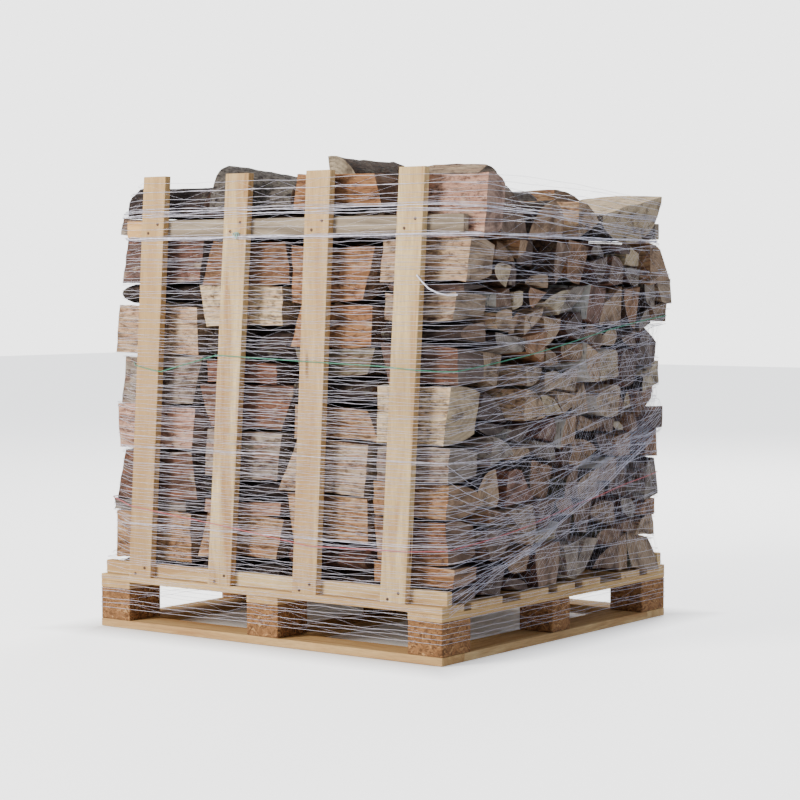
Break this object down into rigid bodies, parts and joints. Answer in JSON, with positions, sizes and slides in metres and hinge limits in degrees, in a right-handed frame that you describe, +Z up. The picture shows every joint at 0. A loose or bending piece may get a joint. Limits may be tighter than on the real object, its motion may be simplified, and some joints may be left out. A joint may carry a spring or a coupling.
{
  "type": "firewood on a pallet",
  "caption": "Split firewood stacked in tiers on a wooden pallet, held between slatted wooden frames and wrapped in white stretch netting.",
  "frame": {"origin": "middle of the pallet's underside, on the floor", "axes": "+X along the slatted front, to the right as seen from the front; +Y from the front to the back; +Z up"},
  "size_m": [1.3155, 1.151, 1.3283],
  "materials": {
    "pallet_board": "rough sawn softwood, yellow-tan",
    "chip_block": "pressed wood chips, orange-brown, speckled",
    "frame_board": "rough sawn softwood with knots",
    "weathered_board": "sawn softwood gone grey",
    "firewood": "split hardwood, cream to red-brown, with dark rough bark",
    "net_cord": "white polyethylene thread with green and red marker threads",
    "nail": "dull steel nail heads"
  },
  "bodies": {
    "root": {"skid_front": "pallet_board", "skid_back": "pallet_board", "skid_left": "pallet_board", "skid_middle": "pallet_board", "skid_right": "pallet_board", "block_front_left": "chip_block", "block_centre_left": "chip_block", "block_back_left": "chip_block", "block_front_middle": "chip_block", "block_centre_middle": "chip_block", "block_back_middle": "chip_block", "block_front_right": "chip_block", "block_centre_right": "chip_block", "block_back_right": "chip_block", "stringer_left": "pallet_board", "stringer_middle": "pallet_board", "stringer_right": "pallet_board", "deck_board_1": "pallet_board", "deck_board_2": "pallet_board", "deck_board_3": "pallet_board", "deck_board_4": "pallet_board", "deck_board_5": "pallet_board", "deck_board_6": "pallet_board", "deck_board_7": "pallet_board", "slat_front_1": "frame_board", "slat_front_2": "frame_board", "slat_front_3": "frame_board", "slat_front_4": "frame_board", "rail_front": "frame_board", "batten_front": "weathered_board", "slat_back_1": "frame_board", "slat_back_2": "frame_board", "slat_back_3": "frame_board", "slat_back_4": "frame_board", "rail_back": "frame_board", "batten_back": "weathered_board", "billet_tier_1": "firewood", "billet_tier_2": "firewood", "billet_tier_3": "firewood", "billet_tier_4": "firewood", "top_quarter_billet_1": "firewood", "top_half_billet_1": "firewood", "top_wedge_billet_1": "firewood", "top_half_billet_2": "firewood", "top_half_billet_3": "firewood", "top_slab_billet_1": "firewood", "top_quarter_billet_2": "firewood", "top_half_billet_4": "firewood", "top_slab_billet_2": "firewood", "top_wedge_billet_2": "firewood", "top_quarter_billet_3": "firewood", "top_half_billet_5": "firewood", "top_wedge_billet_3": "firewood", "top_slab_billet_3": "firewood", "top_quarter_billet_4": "firewood", "top_half_billet_6": "firewood", "top_wedge_billet_4": "firewood", "top_half_billet_7": "firewood", "top_slab_billet_4": "firewood", "stretch_net": "net_cord"}
  },
  "joints": []
}
